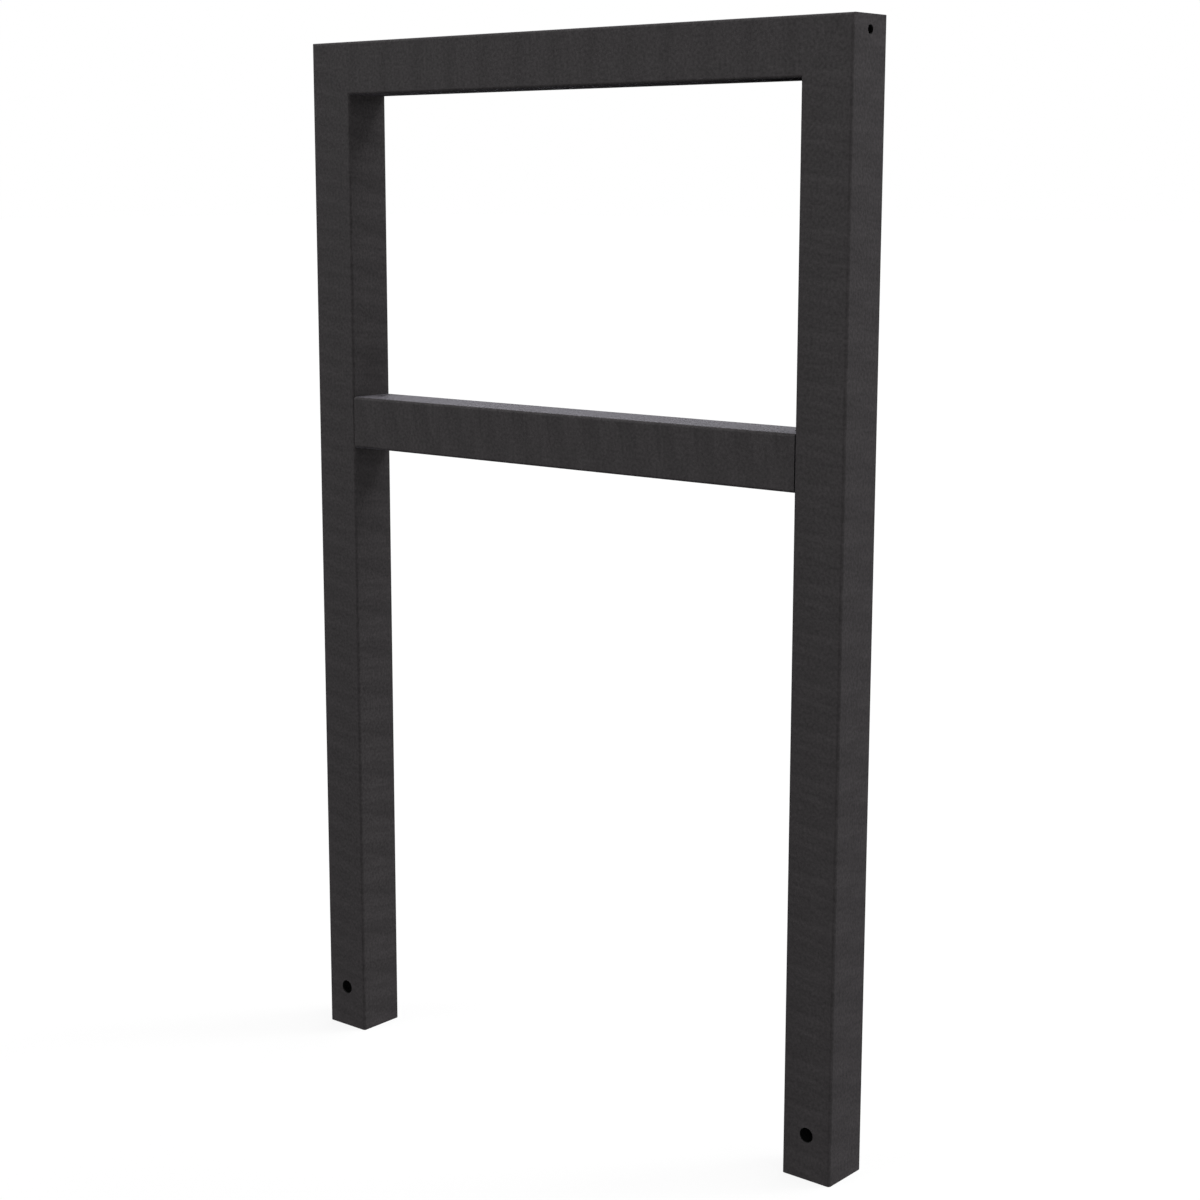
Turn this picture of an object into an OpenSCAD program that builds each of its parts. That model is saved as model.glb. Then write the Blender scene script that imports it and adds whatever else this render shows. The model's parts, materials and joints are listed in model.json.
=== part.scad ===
// Hoop barrier with a crossbar: four lengths of one square steel tube, welded into a frame.
// The posts and the top rail meet in 45 degree mitres, and the crossbar is cut square.
// The origin is the middle of the left post's foot, with +X towards the right post,
// +Y to the rear and +Z up. Sizes are in millimetres.

/* [Frame] */
// Width of the barrier over both posts
frame_width = 750; // [500:10:1500]
// Height from the feet of the posts to the top of the top rail
frame_height = 1200; // [900:10:1600]
// Clear height between the crossbar and the top rail
upper_opening = 350; // [150:10:500]

/* [Tube] */
// Side of the square tube that all four members are cut from
tube_side = 60; // [40:1:80]
// Thickness of the tube's wall
tube_wall = 2; // [1.5:0.5:4]
// Inside radius of the tube's bent corners
bend_radius = 1; // [0.5:0.5:4]

/* [Mitre welds] */
// Width of the gap at each mitre that the weld metal fills
weld_gap = 2; // [1:0.5:4]

/* [Anchor holes] */
// Diameter of the hole through each post for its ground anchor
anchor_bore = 16; // [10:1:24]
// Height of the anchor hole's centre above the foot
anchor_height = 50; // [30:5:200]

/* [Vent holes] */
// Diameter of the vent holes in the posts and the crossbar
vent_bore = 8; // [5:0.5:10]
// Distance of a vent hole's centre from the end of its tube
vent_setback = 15; // [15:1:30]

/* [Hidden] */
$fn = 96;

// The outer radius grows with the wall, because the tube keeps its thickness in the bends
corner_radius = bend_radius + tube_wall;

// Centre lines of the members
post_spacing = frame_width - tube_side;
rail_level = frame_height - tube_side / 2;
crossbar_level = rail_level - tube_side - upper_opening;

// Faces that meet: the crossbar's ends stand on the inner faces of the posts
crossbar_start = tube_side / 2;
crossbar_length = post_spacing - tube_side;

// A cutter starts this far outside the surface that it cuts
overshoot = 1;

coating = [0.205, 0.198, 0.202];

// A square with true round corners
module rounded_square(side, radius) {
    inner = side - 2 * radius;
    square([inner, side], center = true);
    square([side, inner], center = true);
    for (x = [-1, 1], y = [-1, 1])
        translate([x * inner / 2, y * inner / 2])
            circle(r = radius);
}

// Square tube that stands on the origin
module tube(length) {
    linear_extrude(height = length)
        difference() {
            rounded_square(tube_side, corner_radius);
            rounded_square(tube_side - 2 * tube_wall, bend_radius);
        }
}

// Lays a piece that stands on the origin down along +X, at a given height
module along_frame(start, level) {
    translate([start, 0, level])
        rotate([0, 90, 0])
            children();
}

// Swaps the left half of the frame with the right one
module mirrored() {
    translate([post_spacing, 0, 0])
        mirror([1, 0, 0])
            children();
}

// Takes a piece from the frame of the left mitre to its place: in that frame the mitre is
// z = 0, with the post below it and the top rail above it, each the other's mirror image
module at_mitre() {
    translate([0, 0, rail_level])
        rotate([0, 45, 0])
            children();
}

// Slab in the frame of the mitre that covers both tubes between two heights
module mitre_slab(low, high) {
    translate([-tube_side, -tube_side, low])
        cube([2 * tube_side, 2 * tube_side, high - low]);
}

// Hole for the ground anchor, through the front and the rear wall
module anchor_hole() {
    translate([0, 0, anchor_height])
        rotate([90, 0, 0])
            cylinder(d = anchor_bore, h = tube_side + 2 * overshoot, center = true);
}

// Hole through the post's outer wall that vents the highest corner of the tube
module corner_vent() {
    translate([-tube_side / 2 - overshoot, 0, frame_height - vent_setback])
        rotate([0, 90, 0])
            cylinder(d = vent_bore, h = tube_wall + 2 * overshoot);
}

module post() {
    color(coating)
        difference() {
            tube(frame_height);
            at_mitre()
                mitre_slab(-weld_gap / 2, tube_side);
            anchor_hole();
            corner_vent();
        }
}

module left_post() {
    post();
}

module right_post() {
    mirrored()
        post();
}

// Cuts the left end of the top rail short of the mitre by its half of the weld
module rail_end_cut() {
    at_mitre()
        mitre_slab(-tube_side, weld_gap / 2);
}

module top_rail() {
    color(coating)
        difference() {
            along_frame(-tube_side / 2, rail_level)
                tube(frame_width);
            rail_end_cut();
            mirrored()
                rail_end_cut();
        }
}

// Crossbar with a vent hole near each end, through its top and its bottom wall
module crossbar() {
    color(coating)
        along_frame(crossbar_start, crossbar_level)
            difference() {
                tube(crossbar_length);
                for (z = [vent_setback, crossbar_length - vent_setback])
                    translate([0, 0, z])
                        rotate([0, 90, 0])
                            cylinder(d = vent_bore, h = tube_side + 2 * overshoot, center = true);
            }
}

// Half of a weld: it carries on the walls of the post up to the mitre
module half_weld() {
    intersection() {
        rotate([0, -45, 0])
            translate([0, 0, -tube_side])
                tube(2 * tube_side);
        mitre_slab(-weld_gap / 2, 0);
    }
}

// Weld metal that fills the gap of a mitre, ground flush with both tubes
module mitre_weld() {
    color(coating)
        at_mitre() {
            half_weld();
            mirror([0, 0, 1])
                half_weld();
        }
}

module left_mitre_weld() {
    mitre_weld();
}

module right_mitre_weld() {
    mirrored()
        mitre_weld();
}

left_post();
right_post();
top_rail();
crossbar();
left_mitre_weld();
right_mitre_weld();
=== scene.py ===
# %% [markdown]
# # A hoop barrier with a crossbar
# The object is an inverted U of square steel tube with one bar across it, as set in
# concrete beside paths and in front of shop windows. It is welded together and then
# powder coated in a matt anthracite. This lesson starts from the solids that the CAD
# model gives, makes each tube again with rounded edges, drilled holes and mitred ends,
# and gives all of them one procedural coating. Every length is in metres.

# %% Load the CAD frame
import json
import math

import bmesh
import bpy
from mathutils import Matrix, Vector


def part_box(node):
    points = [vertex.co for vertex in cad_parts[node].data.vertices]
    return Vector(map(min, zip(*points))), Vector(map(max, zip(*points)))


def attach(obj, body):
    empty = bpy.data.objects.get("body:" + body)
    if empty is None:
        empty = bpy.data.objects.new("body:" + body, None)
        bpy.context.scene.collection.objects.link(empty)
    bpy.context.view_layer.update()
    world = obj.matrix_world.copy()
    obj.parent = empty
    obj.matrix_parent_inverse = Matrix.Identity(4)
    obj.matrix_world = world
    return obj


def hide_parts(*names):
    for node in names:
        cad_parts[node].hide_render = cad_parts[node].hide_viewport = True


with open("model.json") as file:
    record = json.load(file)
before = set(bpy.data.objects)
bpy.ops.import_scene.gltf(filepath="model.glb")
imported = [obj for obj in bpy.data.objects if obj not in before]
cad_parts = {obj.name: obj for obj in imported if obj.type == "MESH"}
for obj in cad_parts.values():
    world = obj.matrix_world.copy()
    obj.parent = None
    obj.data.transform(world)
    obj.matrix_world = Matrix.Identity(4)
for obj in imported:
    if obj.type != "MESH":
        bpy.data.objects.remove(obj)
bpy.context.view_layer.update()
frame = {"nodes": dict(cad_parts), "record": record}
print("CAD nodes:", sorted(frame["nodes"]))

# %% [markdown]
# The CAD solids know where each tube is, so nothing is typed in twice. A box around a
# node gives its lowest and highest corners. The outer side of each post runs up to the
# mitre, the top rail reaches the full height, and the crossbar sits between the posts.

# %% Read the sizes of the tubes from the CAD nodes
post_low, post_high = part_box("left_post")
far_low, far_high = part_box("right_post")
rail_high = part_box("top_rail")[1]
bar_low, bar_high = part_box("crossbar")
SIDE = post_high.y - post_low.y
LEFT_X = (post_low.x + post_high.x) / 2
RIGHT_X = (far_low.x + far_high.x) / 2
TOP = rail_high.z
RAIL_Z = TOP - SIDE / 2
BAR_Z = (bar_low.z + bar_high.z) / 2
print(f"tube {SIDE * 1000:.0f} mm, posts at {LEFT_X:.3f} and {RIGHT_X:.3f}, top at {TOP:.3f}")

# %% [markdown]
# Welded square tube of this size is rolled from 2 mm strip and comes off the rolls with
# small rounded edges. The profile can be drawn as a square whose four corners are
# bevelled, and a wall appears when that face is inset and its middle is taken out. The
# ring that is left is extruded to the length of the tube. This is how the tube would be
# made from a drawing, and it keeps long, clean faces along the flats. A cube with bevelled
# edges would do for the outside, but it has no wall to drill or saw. The faces that look
# at the middle line are the inside, and get the second material of the piece.

# %% Make a length of square tube
WALL = 0.002
EDGE_RADIUS = 0.003
EDGE_STEPS = 12
# INSIDE is the slot of the tube's inside, which is painted near black as shade over dark scale.
INSIDE = 1
INWARD = -0.001
ACROSS = Vector((1, 1, 0))
UP = Vector((0, 0, 1))


def everything(mesh):
    return mesh.verts[:] + mesh.edges[:] + mesh.faces[:]


def once_each(items):
    """The items without repeats, in their first order, so that every run is the same."""
    return list(dict.fromkeys(items))


def square_tube(start, end):
    """Square tube along +Z, between two heights, with its middle line on the Z axis."""
    mesh = bmesh.new()
    bmesh.ops.create_grid(mesh, x_segments=1, y_segments=1, size=SIDE / 2)
    bmesh.ops.bevel(
        mesh, geom=mesh.verts[:], offset=EDGE_RADIUS, affect="VERTICES",
        segments=EDGE_STEPS, profile=0.5, material=-1,
    )
    section = mesh.faces[:]
    bmesh.ops.inset_region(
        mesh, faces=section, thickness=WALL, use_even_offset=True, use_boundary=True,
    )
    bmesh.ops.delete(mesh, geom=section, context="FACES")
    grown = bmesh.ops.extrude_face_region(mesh, geom=mesh.faces[:])
    tip = [v for v in grown["geom"] if isinstance(v, bmesh.types.BMVert)]
    bmesh.ops.translate(mesh, vec=(0, 0, end - start), verts=tip)
    bmesh.ops.translate(mesh, vec=(0, 0, start), verts=mesh.verts[:])
    bmesh.ops.recalc_face_normals(mesh, faces=mesh.faces[:])
    for face in mesh.faces:
        if face.normal.dot(face.calc_center_median() * ACROSS) < INWARD:
            face.material_index = INSIDE
    return mesh


sample = square_tube(0, 1)
print("tube profile:", len(sample.verts) // 4, "points round each wall surface")
sample.free()

# %% [markdown]
# Where the posts meet the rail both are sawn at 45 degrees. A bisect is the saw: it
# splits every face it crosses and throws away one side. It leaves two open loops, one
# round the outside and one round the inside, and a fill between them is the sawn face.
# A boolean would cut as well, but it leaves ragged faces where two surfaces only touch.

# %% Saw a tube off with a plane
def saw(mesh, point, away):
    """Cuts off the part of the tube on the side that away points to, and closes the cut."""
    cut = bmesh.ops.bisect_plane(
        mesh, geom=everything(mesh), plane_co=point, plane_no=away, clear_outer=True,
    )
    rim = [e for e in cut["geom_cut"] if isinstance(e, bmesh.types.BMEdge)]
    bmesh.ops.triangle_fill(mesh, edges=rim, use_beauty=True, normal=away)
    bmesh.ops.recalc_face_normals(mesh, faces=mesh.faces[:])
    print(f"sawn at x {point.x:.3f} and z {point.z:.3f}, with {len(rim)} edges round the cut")


# %% [markdown]
# Two kinds of hole are drilled in the frame: anchor holes near the feet, and small vent
# holes that let hot gas and rinse water out of the closed tubes. Each goes through one
# flat wall. The wall is first cut across on all sides of the hole, which leaves a
# small square patch, then the patch is swapped for a ring of faces that runs from its
# border to a circle. A bridge can't tell how to turn two loops that lie in one plane, so
# the circle is made a little above the wall and pushed back when the bridge is built.
# The same is done on the inner surface, the two circles are bridged through the wall,
# and the outer rim gets the soft edge that a powder coat leaves there.

# %% Find the wall that a hole goes through
FLAT_COSINE = 0.9999
NEARBY = 0.0005


def looks_along(face, way):
    """Whether a face looks straight along a direction, or straight against it."""
    return abs(face.normal.dot(way)) > FLAT_COSINE


def patch_on(mesh, centre, out):
    """The flat face round a point of a wall surface."""
    for face in mesh.faces:
        if looks_along(face, out) and (face.calc_center_median() - centre).length < NEARBY:
            return face
    raise ValueError(f"no wall patch at {tuple(centre)}")


def wall_near(mesh, centre, out):
    """The flat faces of the wall round a point, inner and outer, with their edges and points."""
    faces = []
    for face in mesh.faces:
        height = (face.calc_center_median() - centre).dot(out)
        if looks_along(face, out) and abs(height) < 2 * WALL:
            faces.append(face)
    edges = once_each(e for f in faces for e in f.edges)
    return faces + edges + once_each(v for f in faces for v in f.verts)


# %% Drill a hole through one wall
HOLE_POINTS = 64
RIM_SOFTNESS = 0.0004
LIFT = 0.001


def bridge(mesh, loops, finish):
    for face in bmesh.ops.bridge_loops(mesh, edges=loops)["faces"]:
        face.material_index = finish


def open_circle(mesh, centre, out, radius):
    """Swaps the patch round a point for a ring of faces round a circular opening."""
    patch = patch_on(mesh, centre, out)
    finish = patch.material_index
    cuts = HOLE_POINTS // 4 - 1
    border = patch.edges[:]
    bmesh.ops.delete(mesh, geom=[patch], context="FACES_ONLY")
    split = bmesh.ops.subdivide_edges(mesh, edges=border, cuts=cuts)
    loop = [e for e in split["geom_split"] if isinstance(e, bmesh.types.BMEdge)]
    turn = UP.rotation_difference(out).to_matrix().to_4x4()
    rim = bmesh.ops.create_circle(
        mesh, cap_ends=False, radius=radius, segments=HOLE_POINTS,
        matrix=Matrix.Translation(centre + out * LIFT) @ turn,
    )["verts"]
    circle = once_each(e for v in rim for e in v.link_edges)
    bridge(mesh, loop + circle, finish)
    bmesh.ops.translate(mesh, vec=-out * LIFT, verts=rim)
    return circle


def drill(mesh, centre, out, along, radius):
    """Drills one wall. out points away from the tube, along runs down its length."""
    centre, out, along = Vector(centre), Vector(out), Vector(along)
    patch_half = min(SIDE / 2 - EDGE_RADIUS, 2 * radius)
    for way in (-1, 1):
        for axis in (along, out.cross(along)):
            bmesh.ops.bisect_plane(
                mesh, geom=wall_near(mesh, centre, out), plane_no=axis,
                plane_co=centre + way * patch_half * axis,
            )
    outer = open_circle(mesh, centre, out, radius)
    inner = open_circle(mesh, centre - out * WALL, out, radius)
    # The hole's wall takes the inside material, painted near black as shade.
    bridge(mesh, outer + inner, INSIDE)
    bmesh.ops.bevel(
        mesh, geom=outer, offset=RIM_SOFTNESS, affect="EDGES", segments=3,
        profile=0.5, material=-1,
    )
    bmesh.ops.recalc_face_normals(mesh, faces=mesh.faces[:])
    print(f"{radius * 2000:.0f} mm hole at {tuple(round(c, 3) for c in centre)}")


# %% [markdown]
# A shader works out the light on a curved edge from blended normals. If the wide flats
# shared that blending they would look slightly bulged, so only faces that turn from one
# flat to the next are set smooth. Everything that faces straight along an axis, or along
# the 45 degree saw cut, stays flat. Edges that really are sharp, such as those round a
# saw cut, are marked too. Without that mark a long rounded edge would take a little of
# the cut's direction at its end, and carry a false sheen down the whole tube.

# %% Finish a mesh as a named piece that rides on the frame
SAW_CUTS = [Vector((1, 0, 1)).normalized(), Vector((-1, 0, 1)).normalized()]
FLAT_WAYS = [Vector((1, 0, 0)), Vector((0, 1, 0)), UP] + SAW_CUTS
SHARP_ANGLE = math.radians(35)


def add_object(mesh, name):
    """Puts a mesh in the scene as an object, with its place in the mesh itself."""
    data = bpy.data.meshes.new(name)
    mesh.to_mesh(data)
    mesh.free()
    made = bpy.data.objects.new(name, data)
    bpy.context.scene.collection.objects.link(made)
    return made


def finish_piece(mesh, name, node, material):
    """Turns the mesh into an object in place of one CAD node."""
    for face in mesh.faces:
        face.smooth = not any(looks_along(face, way) for way in FLAT_WAYS)
    for edge in mesh.edges:
        edge.smooth = edge.calc_face_angle(0) < SHARP_ANGLE
    piece = add_object(mesh, name)
    piece.data.materials.append(material)
    # The second slot is the inside and the hole walls, painted near black as shade.
    piece.data.materials.append(inside_painted_shade)
    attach(piece, "root")
    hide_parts(node)
    print(f"{name}: {len(piece.data.vertices)} vertices, {len(piece.data.polygons)} faces")


print("faces stay flat along", len(FLAT_WAYS), "directions")


# %% [markdown]
# ## The powder coat
# Powder is baked onto the steel and flows into a skin with a fine orange peel. On this
# dark matt coat the eye sees two things: a grain of a few millimetres, and faint wavy
# bands across each tube that come back every 51 mm. Square tube is shaped between rolls,
# and a mark on a roll prints once in each turn, so a repeat like this is no surprise
# under a thin coat. All of it goes in one node group that every tube shares. The group
# reads object coordinates, so the pattern is fixed to the steel, and its Along input
# says which way a tube runs.

# %% Small helpers for nodes
def add_node(tree, kind, x, y, **settings):
    """A node at a place in the editor, with its settings."""
    node = tree.nodes.new(kind)
    node.location = (x, y)
    for name, value in settings.items():
        setattr(node, name, value)
    return node


def feed(tree, socket, value):
    """Links an output to a socket, or sets the socket to a plain value."""
    if isinstance(value, bpy.types.NodeSocket):
        tree.links.new(value, socket)
    else:
        socket.default_value = value


def calc(tree, operation, a, b, x, y):
    """One step of arithmetic. Cosine and sine leave b out of the sum."""
    node = add_node(tree, "ShaderNodeMath", x, y, operation=operation)
    feed(tree, node.inputs[0], a)
    feed(tree, node.inputs[1], b)
    return node.outputs[0]


def reach(tree, place, way, y):
    """How far a place lies in a direction."""
    node = add_node(tree, "ShaderNodeVectorMath", -1000, y, operation="DOT_PRODUCT")
    feed(tree, node.inputs[0], place)
    feed(tree, node.inputs[1], way)
    return node.outputs["Value"]


def noise(tree, vector, scale, detail, y):
    """A cloudy pattern with so many cells to a unit of its coordinates."""
    texture = add_node(tree, "ShaderNodeTexNoise", -200, y)
    texture.inputs["Scale"].default_value = scale
    texture.inputs["Detail"].default_value = detail
    tree.links.new(vector, texture.inputs["Vector"])
    return texture.outputs["Fac"]


def spread(tree, fac, low, high, y):
    """Maps the middle of a noise, 0.3 to 0.7, onto the range low to high."""
    node = add_node(tree, "ShaderNodeMapRange", 20, y)
    node.inputs["From Min"].default_value = 0.3
    node.inputs["From Max"].default_value = 0.7
    node.inputs["To Min"].default_value = low
    node.inputs["To Max"].default_value = high
    tree.links.new(fac, node.inputs["Value"])
    return node.outputs["Result"]


# %% [markdown]
# The group takes three values: the coat's colour, the way the tube runs and how strong
# the bands are. It gives back three results: a colour, a roughness and a height. The
# shader itself stays in each material, because the export can't read one in a group.

# %% Open the powder coat group
coat = bpy.data.node_groups.new("powder_coat", "ShaderNodeTree")
coat.interface.new_socket("Coat Colour", in_out="INPUT", socket_type="NodeSocketColor")
coat.interface.new_socket("Along", in_out="INPUT", socket_type="NodeSocketVector")
coat.interface.new_socket("Band Depth", in_out="INPUT", socket_type="NodeSocketFloat")
coat.interface.new_socket("Colour", in_out="OUTPUT", socket_type="NodeSocketColor")
coat.interface.new_socket("Roughness", in_out="OUTPUT", socket_type="NodeSocketFloat")
coat.interface.new_socket("Height", in_out="OUTPUT", socket_type="NodeSocketFloat")
entry = add_node(coat, "NodeGroupInput", -1200, 0)
leave = add_node(coat, "NodeGroupOutput", 800, 0)
place = add_node(coat, "ShaderNodeTexCoord", -1200, -200).outputs["Object"]
print("powder_coat takes", [s.name for s in entry.outputs if s.name])

# %% [markdown]
# A noise texture never repeats by itself. To make it come back after one turn of the
# roll, the distance along the tube is wound round a circle: its cosine and sine are two
# coordinates of the noise, and the way round the tube is the third. One repeat is once
# round the circle, and there is no seam where it starts again. The bands also lean a
# little, because the rolls never run quite square to the tube. Clouds of some 17 mm and
# a grain of some 3 mm are plain noises.

# %% Wind the length of the tube into repeating bands
ROLL_TURN = 0.0508
ROLL_LEAN = 0.12
BAND_SCALE = 0.9
BAND_WAVER = 18.0
CLOUDS_PER_METRE = 60.0
GRAINS_PER_METRE = 300.0
down = reach(coat, place, entry.outputs["Along"], 300)
girth = calc(coat, "SUBTRACT", reach(coat, place, (1, 1, 1), 100), down, -800, 100)
leaned = calc(coat, "ADD", down, calc(coat, "MULTIPLY", girth, ROLL_LEAN, -800, 500), -700, 400)
turned = calc(coat, "MULTIPLY", leaned, 2 * math.pi / ROLL_TURN, -700, 300)
once_a_turn = calc(coat, "COSINE", turned, 0.0, -600, 400)
wound = add_node(coat, "ShaderNodeCombineXYZ", -400, 300)
coat.links.new(once_a_turn, wound.inputs["X"])
coat.links.new(calc(coat, "SINE", turned, 0.0, -600, 250), wound.inputs["Y"])
coat.links.new(calc(coat, "MULTIPLY", girth, BAND_WAVER, -600, 100), wound.inputs["Z"])
bands = noise(coat, wound.outputs["Vector"], BAND_SCALE, 4.0, 300)
clouds = noise(coat, place, CLOUDS_PER_METRE, 2.0, 0)
grain = noise(coat, place, GRAINS_PER_METRE, 2.0, -300)
print(f"bands repeat every {ROLL_TURN * 1000:.1f} mm")

# %% [markdown]
# The three noises become one brightness that multiplies the coat's colour, a roughness,
# and a height for a bump. The bands are mixed towards no change where Band Depth is low,
# so that the ground corners, which had no rolls over them, can go without.

# %% Turn the noises into colour, roughness and height
WAVE_SHARE = 0.3
CLOUD_TONES = (0.96, 1.04)
GRAIN_TONES = (0.81, 1.19)
ROUGHNESS_OF_GRAIN = (0.68, 0.56)
cloud_tone = spread(coat, clouds, *CLOUD_TONES, 0)
grain_tone = spread(coat, grain, *GRAIN_TONES, -300)
wave = calc(coat, "MULTIPLY", once_a_turn, WAVE_SHARE, 20, 500)
both = calc(coat, "ADD", spread(coat, bands, -1.0, 1.0, 300), wave, 120, 400)
band_part = calc(coat, "MULTIPLY", both, entry.outputs["Band Depth"], 220, 300)
band_tone = calc(coat, "ADD", band_part, 1.0, 400, 300)
tone = calc(coat, "MULTIPLY", cloud_tone, grain_tone, 220, 0)
tone = calc(coat, "MULTIPLY", tone, band_tone, 400, 100)
shade = add_node(coat, "ShaderNodeVectorMath", 600, 150, operation="SCALE")
coat.links.new(entry.outputs["Coat Colour"], shade.inputs[0])
coat.links.new(tone, shade.inputs["Scale"])
coat.links.new(shade.outputs["Vector"], leave.inputs["Colour"])
coat.links.new(spread(coat, grain, *ROUGHNESS_OF_GRAIN, -500), leave.inputs["Roughness"])
coat.links.new(grain, leave.inputs["Height"])
print("powder_coat group:", len(coat.nodes), "nodes")

# %% [markdown]
# The anthracite reads about 52 of 255 on the faces towards the camera. Written as light
# that is close to 0.035, with a trace more red and blue than green. Posts and level tubes
# have a material each, because the bands need the direction of the tube, and the ground
# welds have no bands. A little sheen pales the coat where it is seen at a slant. Powder
# hardly gets into a tube, so the inside and the walls of the holes are rolled steel with
# dark scale. Their colour is set far darker than scale, near black, as painted shade that
# keeps what shows through the holes black.

# %% Make the coated steel materials
ANTHRACITE = (0.0349, 0.0321, 0.0333, 1.0)
# Painted shade: the inside colour is near black, darker than real scale, so the tube's inside and
# the hole walls read as shade.
SCALE_AND_PAINTED_SHADE = (0.006, 0.006, 0.006, 1.0)
BAND_DEPTH = 0.14
PEEL_HEIGHT = 0.0002
SPECULAR = 0.1
SHEEN = 0.15
SHEEN_ROUGHNESS = 0.3
SHEEN_TINT = (0.85, 0.82, 1.0, 1.0)


def coated(name, along, band_depth, colour=ANTHRACITE, sheen=SHEEN):
    """A material for tubes that run in one direction."""
    material = bpy.data.materials.new(name)
    material.use_nodes = True
    tree = material.node_tree
    shader = tree.nodes["Principled BSDF"]
    group = add_node(tree, "ShaderNodeGroup", -500, 0, node_tree=coat)
    group.inputs["Coat Colour"].default_value = colour
    group.inputs["Along"].default_value = along
    group.inputs["Band Depth"].default_value = band_depth
    bump = add_node(tree, "ShaderNodeBump", -250, -250)
    bump.inputs["Distance"].default_value = PEEL_HEIGHT
    tree.links.new(group.outputs["Colour"], shader.inputs["Base Color"])
    tree.links.new(group.outputs["Roughness"], shader.inputs["Roughness"])
    tree.links.new(group.outputs["Height"], bump.inputs["Height"])
    tree.links.new(bump.outputs["Normal"], shader.inputs["Normal"])
    shader.inputs["Specular IOR Level"].default_value = SPECULAR
    shader.inputs["Sheen Weight"].default_value = sheen
    shader.inputs["Sheen Roughness"].default_value = SHEEN_ROUGHNESS
    shader.inputs["Sheen Tint"].default_value = SHEEN_TINT
    print("material", name)
    return material


upright_coat = coated("coated_upright_tube", (0, 0, 1), BAND_DEPTH)
level_coat = coated("coated_level_tube", (1, 0, 0), BAND_DEPTH)
corner_coat = coated("coated_ground_weld", (0, 0, 1), 0.0)
# The inside and the hole walls: dark scale, painted near black as shade.
inside_painted_shade = coated("tube_inside_scale_and_painted_shade", (0, 0, 1), 0.0, SCALE_AND_PAINTED_SHADE, sheen=0.0)

# %% [markdown]
# ## The posts
# Each post is sawn at the top by a plane that leans in at 45 degrees, one millimetre
# short of the mitre, where the weld begins. An anchor hole goes through the front and
# back walls near the foot, and a vent hole through the outer wall near the top. The
# anchor hole's size and height come from the record, and the vent's size from the
# photograph. One function makes both posts, so that they can't differ.

# %% Build the two posts
WELD_HALF = 0.001
VENT_RADIUS = 0.0045
VENT_FROM_TOP = 0.015
MOUNTS = {m["name"]: m for m in frame["record"]["mounts"]}
ANCHOR_RADIUS = MOUNTS["left_anchor_bore"]["dims"]["r_mm"] / 1000
ANCHOR_Z = MOUNTS["left_anchor_bore"]["pos_m"][2]
FOOT_SOFTNESS = 0.0003


def mitre_point(x):
    """Where the middle lines of a post and the rail meet."""
    return Vector((x, 0, RAIL_Z))


def post(x, inward):
    """A post at x. inward is +1 where the rail runs to +X from it, and -1 at the other."""
    mesh = square_tube(0, TOP + SIDE)
    foot = [e for e in mesh.edges if all(v.co.z < NEARBY for v in e.verts)]
    foot = [e for e in foot if e.calc_face_angle(0) > SHARP_ANGLE]
    bmesh.ops.bevel(
        mesh, geom=foot, offset=FOOT_SOFTNESS, affect="EDGES", segments=2,
        profile=0.5, material=-1,
    )
    bmesh.ops.translate(mesh, vec=(x, 0, 0), verts=mesh.verts[:])
    away = Vector((inward, 0, 1)).normalized()
    saw(mesh, mitre_point(x) - away * WELD_HALF, away)
    for way in (-1, 1):
        drill(mesh, (x, way * SIDE / 2, ANCHOR_Z), (0, way, 0), UP, ANCHOR_RADIUS)
    outer_wall = x - inward * SIDE / 2
    drill(mesh, (outer_wall, 0, TOP - VENT_FROM_TOP), (-inward, 0, 0), UP, VENT_RADIUS)
    return mesh


finish_piece(post(LEFT_X, 1), "left_post_tube", "left_post", upright_coat)
finish_piece(post(RIGHT_X, -1), "right_post_tube", "right_post", upright_coat)

# %% [markdown]
# ## The top rail
# The rail is the same tube laid on its side: a quarter turn about Y carries +Z to +X. It
# is sawn at both ends by the mirror images of the posts' cuts. It could also be a copy of
# a post, but its length and its holes differ, so it is made from a fresh tube.

# %% Build the top rail
def lay_along_x(mesh, level):
    """Turns an upright tube to run along +X, at a height."""
    turn = Matrix.Rotation(math.pi / 2, 4, "Y")
    bmesh.ops.transform(mesh, matrix=Matrix.Translation((0, 0, level)) @ turn, verts=mesh.verts[:])


rail = square_tube(LEFT_X - SIDE, RIGHT_X + SIDE)
lay_along_x(rail, RAIL_Z)
for x, inward in ((LEFT_X, 1), (RIGHT_X, -1)):
    away = Vector((-inward, 0, -1)).normalized()
    saw(rail, mitre_point(x) - away * WELD_HALF, away)
finish_piece(rail, "top_rail_tube", "top_rail", level_coat)

# %% [markdown]
# ## The crossbar
# The crossbar is cut square and butted against the inner faces of the posts. Because
# the posts' edges are rounded, a dark groove shows at each end, and needs no line drawn
# on the coat. Its vent holes are close to the ends, one in the upper and one in the lower
# wall.

# %% Build the crossbar
VENT_FROM_END = 0.015
bar = square_tube(bar_low.x, bar_high.x)
lay_along_x(bar, BAR_Z)
for x in (bar_low.x + VENT_FROM_END, bar_high.x - VENT_FROM_END):
    for way in (-1, 1):
        drill(bar, (x, 0, BAR_Z + way * SIDE / 2), (0, 0, way), (1, 0, 0), VENT_RADIUS)
finish_piece(bar, "crossbar_tube", "crossbar", level_coat)

# %% [markdown]
# ## The corner welds
# Each mitre is welded all round and ground flush, so under the coat there is only a thin
# ring that follows the tube's profile round the corner. Half of it is a slice of the
# post's tube, and a mirror across the mitre makes the other half. A ring made straight
# from the profile would have to be stretched to fit the slanted cut, and this one fits.

# %% Build the two weld rings
MERGE = 0.00001


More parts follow.
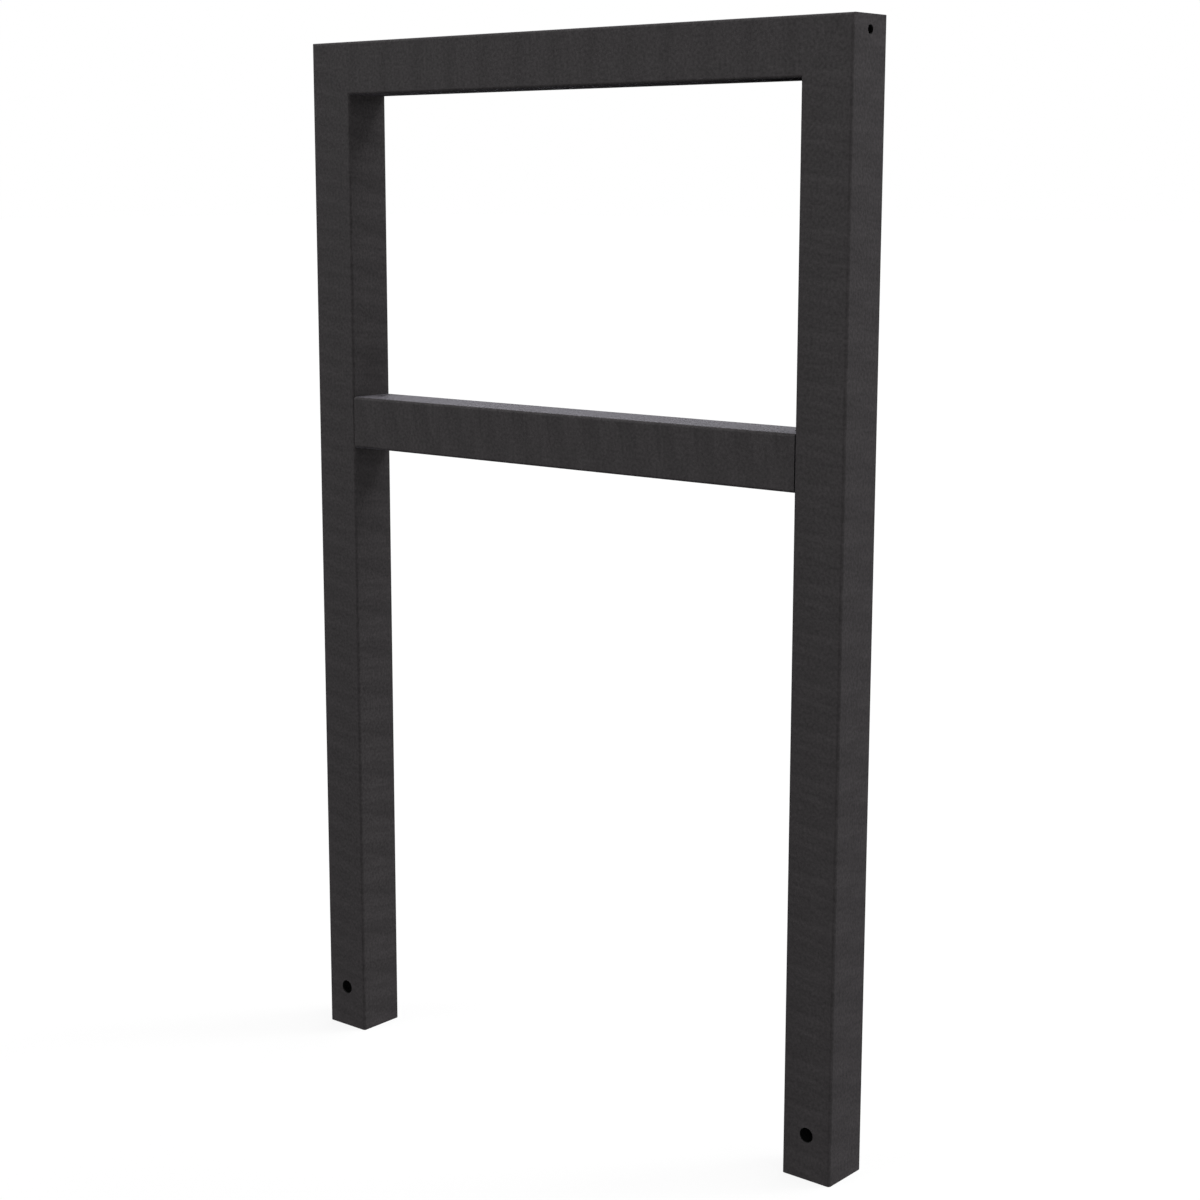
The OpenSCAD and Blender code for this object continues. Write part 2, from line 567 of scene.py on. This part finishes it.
def weld_ring(x, inward):
    """The weld in the mitre of the post at x. inward is as for the post."""
    mesh = square_tube(0, TOP + SIDE)
    bmesh.ops.translate(mesh, vec=(x, 0, 0), verts=mesh.verts[:])
    away = Vector((inward, 0, 1)).normalized()
    corner = mitre_point(x)
    saw(mesh, corner - away * WELD_HALF, -away)
    bmesh.ops.bisect_plane(
        mesh, geom=everything(mesh), plane_co=corner, plane_no=away, clear_outer=True,
    )
    turn = UP.rotation_difference(away).to_matrix().to_4x4()
    to_mitre = (Matrix.Translation(corner) @ turn).inverted()
    bmesh.ops.mirror(
        mesh, geom=everything(mesh), matrix=to_mitre, merge_dist=MERGE, axis="Z",
    )
    bmesh.ops.recalc_face_normals(mesh, faces=mesh.faces[:])
    return mesh


for side, x, inward in (("left", LEFT_X, 1), ("right", RIGHT_X, -1)):
    ring = weld_ring(x, inward)
    finish_piece(ring, f"{side}_corner_weld", f"{side}_mitre_weld", corner_coat)

# %% [markdown]
# ## Floor and background
# The barrier stands on a plain white floor with no visible edge. A floor lit only by the
# lamps would need far too much light to turn white, so most of its white is its own glow,
# which only the camera sees. The small share that is really lit keeps the shadow. The
# floor is hidden from the rays that light the barrier: it neither shows in the coat nor
# keeps the light from below away from it. Only under the two open feet does it have to
# keep that light out, or the holes near them would glow. Two patches the size of the
# feet, which no ray but a shadow ray meets, do that.

# %% Lay the floor and the patches under the feet
FLOOR_HALF = 60
PATCH_Z = -0.0002


def flat_stage(name, half, spots):
    """Level squares that light up nothing and aren't mirrored in the coat."""
    mesh = bmesh.new()
    for spot in spots:
        bmesh.ops.create_grid(
            mesh, x_segments=1, y_segments=1, size=half, matrix=Matrix.Translation(spot),
        )
    squares = add_object(mesh, name)
    squares.visible_glossy = False
    squares.visible_diffuse = False
    print(f"{name}: squares of {2 * half} m")
    return squares


floor = flat_stage("floor", FLOOR_HALF, [(0, 0, 0)])
floor.visible_shadow = False
feet = [(x, 0, PATCH_Z) for x in (LEFT_X, RIGHT_X)]
flat_stage("foot_patches", SIDE / 2, feet).visible_camera = False

# %% Paint the floor white
LIT_SHARE = 0.12
FLOOR_PAINT = (0.8, 0.8, 0.8, 1.0)
floor_look = bpy.data.materials.new("white_floor")
floor_look.use_nodes = True
floor_nodes = floor_look.node_tree
floor_nodes.nodes.remove(floor_nodes.nodes["Principled BSDF"])
lit = add_node(floor_nodes, "ShaderNodeBsdfDiffuse", -400, 100)
lit.inputs["Color"].default_value = FLOOR_PAINT
glow = add_node(floor_nodes, "ShaderNodeEmission", -400, -100)
mix = add_node(floor_nodes, "ShaderNodeMixShader", -200, 0)
mix.inputs["Fac"].default_value = LIT_SHARE
floor_nodes.links.new(glow.outputs[0], mix.inputs[1])
floor_nodes.links.new(lit.outputs[0], mix.inputs[2])
floor_nodes.links.new(mix.outputs[0], floor_nodes.nodes["Material Output"].inputs["Surface"])
floor.data.materials.append(floor_look)
print(f"the lamps light {LIT_SHARE:.0%} of the floor's white")

# %% [markdown]
# ## The room
# The barrier stands in a pale studio without corners. The camera sees it white. A ray
# that a shiny surface mirrors sees it white above the horizon too, as it would in the
# real room. All other rays meet a dim dome, because the lamps do the lighting. One world
# does all this: it asks what kind of ray has come, and whether the ray points up.

# %% Find out whether a ray points up
HORIZON = 0.02
world = bpy.data.worlds.new("studio")
bpy.context.scene.world = world
world.use_nodes = True
room = world.node_tree
way = add_node(room, "ShaderNodeTexCoord", -900, -100)
split_way = add_node(room, "ShaderNodeSeparateXYZ", -700, -100)
room.links.new(way.outputs["Generated"], split_way.inputs[0])
above = add_node(room, "ShaderNodeMapRange", -500, -100)
above.inputs["From Min"].default_value = -HORIZON
above.inputs["From Max"].default_value = HORIZON
room.links.new(split_way.outputs["Z"], above.inputs["Value"])
points_up = above.outputs["Result"]
print("world", world.name)

# %% Give each kind of ray its colour
WHITE = (1.0, 1.0, 1.0, 1.0)
DIM_DOME = (0.16, 0.16, 0.16, 1.0)
DARK = (0.01, 0.01, 0.01, 1.0)


def mixed_colour(tree, fac, low, high, x, y):
    """Mixes two colours, or two colour outputs, by a factor."""
    node = add_node(tree, "ShaderNodeMix", x, y, data_type="RGBA")
    tree.links.new(fac, node.inputs["Factor"])
    feed(tree, node.inputs[6], low)
    feed(tree, node.inputs[7], high)
    return node.outputs[2]


ray = add_node(room, "ShaderNodeLightPath", -900, 300)
glossy, through = ray.outputs["Is Glossy Ray"], ray.outputs["Is Transmission Ray"]
mirrored = calc(room, "MAXIMUM", glossy, through, -500, 300)
dome = mixed_colour(room, points_up, DARK, DIM_DOME, -300, 0)
backdrop = mixed_colour(room, points_up, DARK, WHITE, -300, 200)
met = mixed_colour(room, mirrored, dome, backdrop, -100, 100)
met = mixed_colour(room, ray.outputs["Is Camera Ray"], met, WHITE, 100, 0)
background = room.nodes["Background"]
background.location = (300, 0)
room.nodes["World Output"].location = (500, 0)
room.links.new(met, background.inputs["Color"])
print("studio world:", len(room.nodes), "nodes")

# %% [markdown]
# ## The lamps
# The tones in the photograph were taken apart face by face, and each of these six soft
# suns stands for one part of them. A key from behind on the right draws the edge of the
# shadow on the left post's inner face, and a wide softbox overhead gives that shadow its
# long pale end. Two fills, from the front left and from the right, light the fronts and
# the sides. Neither comes from the camera's side, so what shows through the holes stays
# black. The light that a pale floor throws back comes up at a slant from the right. A
# weak sun low at the back left skims over the level faces, and a matt coat throws such
# light on towards the camera: that is why their upper sides are by far the palest.

# %% Hang the suns
def sun(name, towards, energy, angle, colour=(1.0, 1.0, 1.0)):
    """A sun that shines from the direction towards."""
    light = bpy.data.lights.new(name, "SUN")
    light.energy = energy
    light.color = colour
    light.angle = math.radians(angle)
    lamp = bpy.data.objects.new(name, light)
    lamp.rotation_euler = Vector(towards).to_track_quat("Z", "Y").to_euler()
    bpy.context.scene.collection.objects.link(lamp)
    print(f"{name}: energy {energy}, {angle} degrees wide")
    return lamp


COOL = (0.88, 0.88, 1.0)
sun("key_from_behind", (0.85, 1.0, 1.6), 0.94, 14)
sun("softbox_overhead", (0.2, 0.3, 1.0), 2.6, 50)
sun("fill_from_front_left", (-0.6, -1.0, 0.45), 2.25, 40)
sun("fill_from_right", (1.0, 0.1, 0.3), 0.97, 40)
sun("bounce_from_floor", (1.0, 0.0, -0.8), 1.3, 50)
sun("skim_from_back_left", (-0.64, 0.76, 0.12), 0.145, 20, COOL)

# %% [markdown]
# ## Camera
# The camera was found by fitting the edges of the tubes in the photograph to a frame of
# 0.75 m by 1.2 m. It stands about 2.5 m away and 1 m above the floor, and looks 10
# degrees down. Its picture was trimmed a little off centre, which a small shift repeats.

# %% Place the camera
CAMERA_AT = (1.93156, -1.88953, 1.03479)
YAW, PITCH, ROLL = 40.25698, -10.02504, -0.03974
FOCAL_LENGTH = 67.11531
SHIFT = (0.02942, -0.01459)
camera_data = bpy.data.cameras.new("camera")
camera_data.sensor_width = 36.0
camera_data.lens = FOCAL_LENGTH
camera_data.shift_x, camera_data.shift_y = SHIFT
camera = bpy.data.objects.new("camera", camera_data)
bpy.context.scene.collection.objects.link(camera)
camera.matrix_world = (
    Matrix.Translation(CAMERA_AT)
    @ Matrix.Rotation(math.radians(YAW), 4, "Z")
    @ Matrix.Rotation(math.radians(90 + PITCH), 4, "X")
    @ Matrix.Rotation(math.radians(ROLL), 4, "Z")
)
bpy.context.scene.camera = camera
bpy.context.scene.view_settings.view_transform = "Standard"
print(f"camera at {CAMERA_AT}, {FOCAL_LENGTH:.1f} mm lens")
